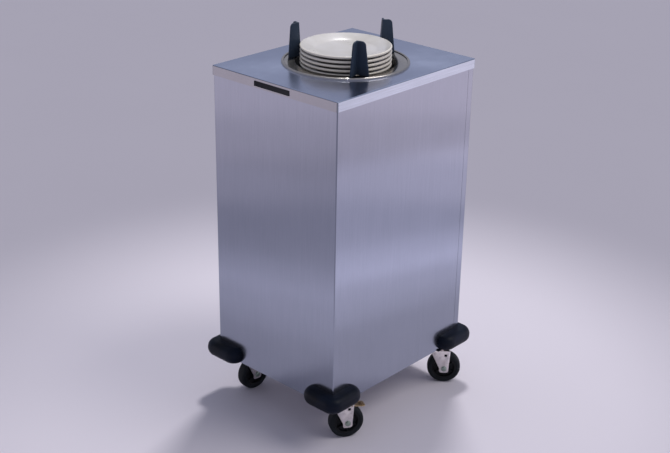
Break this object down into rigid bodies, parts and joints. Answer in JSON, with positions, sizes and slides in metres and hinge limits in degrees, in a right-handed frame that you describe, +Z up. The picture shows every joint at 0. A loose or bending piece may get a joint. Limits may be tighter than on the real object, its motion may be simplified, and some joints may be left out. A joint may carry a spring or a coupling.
{
  "type": "heated plate dispenser",
  "caption": "Tall steel cabinet on swivel casters with a heated, spring-levelled plate well in its deck, plate guides round the well and corner bumpers.",
  "frame": {"origin": "on the floor under the middle of the cabinet", "axes": "+Z up, the front faces -Y, +X to the right of a person facing the front"},
  "size_m": [0.524, 0.626, 1.105],
  "materials": {
    "stainless": "satin",
    "inner_steel": "mill",
    "heater_sheath": "matt",
    "zinc": "zinc plated",
    "yellow_zinc": "yellow zinc",
    "guide_plastic": "matt",
    "shoe_plastic": "matt",
    "china": "glazed",
    "control_plastic": "satin",
    "lamp_lens": "gloss",
    "bumper_rubber": "matt",
    "hub_plastic": "satin",
    "tyre": "matt"
  },
  "bodies": {
    "cabinet": {"top_cap": "stainless", "body_wrapper": "stainless", "rear_panel": "stainless", "well_ring": "stainless", "base_pan": "inner_steel", "front_caster_rail": "inner_steel", "rear_caster_rail": "inner_steel", "rear_uprights": "inner_steel", "dispenser_tube": "inner_steel", "spring_hangers": "inner_steel", "lift_spring_1": "inner_steel", "lift_spring_2": "inner_steel", "lift_spring_3": "inner_steel", "heater_brackets": "inner_steel", "control_box": "inner_steel", "heating_elements": "heater_sheath", "rear_panel_screws": "zinc", "caster_bolts": "zinc", "plate_guide_1": "guide_plastic", "plate_guide_2": "guide_plastic", "plate_guide_3": "guide_plastic", "thermostat": "control_plastic", "power_switch": "control_plastic", "cord_gland": "control_plastic", "pilot_lamp": "lamp_lens", "front_left_bumper": "bumper_rubber", "front_left_caster_plate": "zinc", "front_right_bumper": "bumper_rubber", "front_right_caster_plate": "zinc", "rear_left_bumper": "bumper_rubber", "rear_left_caster_plate": "zinc", "rear_right_bumper": "bumper_rubber", "rear_right_caster_plate": "zinc"},
    "carrier": {"carrier_plate": "inner_steel", "carrier_stem": "inner_steel", "carrier_spider": "inner_steel", "glide_shoes": "shoe_plastic", "plate_stack": "china"},
    "top_plate": {"top_plate": "china"},
    "knob": {"thermostat_knob": "control_plastic"},
    "rocker": {"switch_rocker": "control_plastic"},
    "front_left_swivel": {"front_left_caster_fork": "zinc", "front_left_caster_axle": "zinc"},
    "front_left_wheel": {"front_left_wheel_hub": "hub_plastic", "front_left_tyre": "tyre"},
    "front_left_brake": {"front_left_brake_lever": "yellow_zinc"},
    "front_right_swivel": {"front_right_caster_fork": "zinc", "front_right_caster_axle": "zinc"},
    "front_right_wheel": {"front_right_wheel_hub": "hub_plastic", "front_right_tyre": "tyre"},
    "front_right_brake": {"front_right_brake_lever": "yellow_zinc"},
    "rear_left_swivel": {"rear_left_caster_fork": "zinc", "rear_left_caster_axle": "zinc"},
    "rear_left_wheel": {"rear_left_wheel_hub": "hub_plastic", "rear_left_tyre": "tyre"},
    "rear_right_swivel": {"rear_right_caster_fork": "zinc", "rear_right_caster_axle": "zinc"},
    "rear_right_wheel": {"rear_right_wheel_hub": "hub_plastic", "rear_right_tyre": "tyre"}
  },
  "joints": [
    {"name": "carrier_slide", "type": "slide", "parent": "cabinet", "child": "carrier", "axis": [0, 0, 1], "range_m": [-0.5, 0.03], "stiffness_N_per_m": 756, "springref_m": 0.0857, "deforming": ["lift_spring_1", "lift_spring_2", "lift_spring_3"]},
    {"name": "top_plate_lift", "type": "slide", "parent": "carrier", "child": "top_plate", "axis": [0, 0, 1], "range_m": [0, 0.12]},
    {"name": "knob_turn", "type": "hinge", "parent": "cabinet", "child": "knob", "pos_m": [-0.05, 0.2785, 0.3], "axis": [0, 1, 0], "range_deg": [0, 270]},
    {"name": "rocker_tilt", "type": "hinge", "parent": "cabinet", "child": "rocker", "pos_m": [0.005, 0.279, 0.3], "axis": [1, 0, 0], "range_deg": [0, 16]},
    {"name": "front_left_swivel_turn", "type": "hinge", "parent": "cabinet", "child": "front_left_swivel", "pos_m": [-0.183, -0.22, 0.118], "axis": [0, 0, 1], "continuous": true},
    {"name": "front_left_wheel_spin", "type": "hinge", "parent": "front_left_swivel", "child": "front_left_wheel", "pos_m": [-0.18021, -0.18812, 0.05], "axis": [-0.9962, 0.0872, 0], "continuous": true},
    {"name": "front_left_brake_press", "type": "hinge", "parent": "front_left_swivel", "child": "front_left_brake", "pos_m": [-0.17917, -0.17617, 0.1045], "axis": [-0.9962, 0.0872, 0], "range_deg": [0, 12]},
    {"name": "front_right_swivel_turn", "type": "hinge", "parent": "cabinet", "child": "front_right_swivel", "pos_m": [0.183, -0.22, 0.118], "axis": [0, 0, 1], "continuous": true},
    {"name": "front_right_wheel_spin", "type": "hinge", "parent": "front_right_swivel", "child": "front_right_wheel", "pos_m": [0.199, -0.19229, 0.05], "axis": [-0.866, 0.5, 0], "continuous": true},
    {"name": "front_right_brake_press", "type": "hinge", "parent": "front_right_swivel", "child": "front_right_brake", "pos_m": [0.205, -0.18189, 0.1045], "axis": [-0.866, 0.5, 0], "range_deg": [0, 12]},
    {"name": "rear_left_swivel_turn", "type": "hinge", "parent": "cabinet", "child": "rear_left_swivel", "pos_m": [-0.183, 0.22, 0.118], "axis": [0, 0, 1], "continuous": true},
    {"name": "rear_left_wheel_spin", "type": "hinge", "parent": "rear_left_swivel", "child": "rear_left_wheel", "pos_m": [-0.16243, 0.24451, 0.05], "axis": [-0.766, 0.6428, 0], "continuous": true},
    {"name": "rear_right_swivel_turn", "type": "hinge", "parent": "cabinet", "child": "rear_right_swivel", "pos_m": [0.183, 0.22, 0.118], "axis": [0, 0, 1], "continuous": true},
    {"name": "rear_right_wheel_spin", "type": "hinge", "parent": "rear_right_swivel", "child": "rear_right_wheel", "pos_m": [0.20751, 0.24057, 0.05], "axis": [-0.6428, 0.766, 0], "continuous": true}
  ]
}
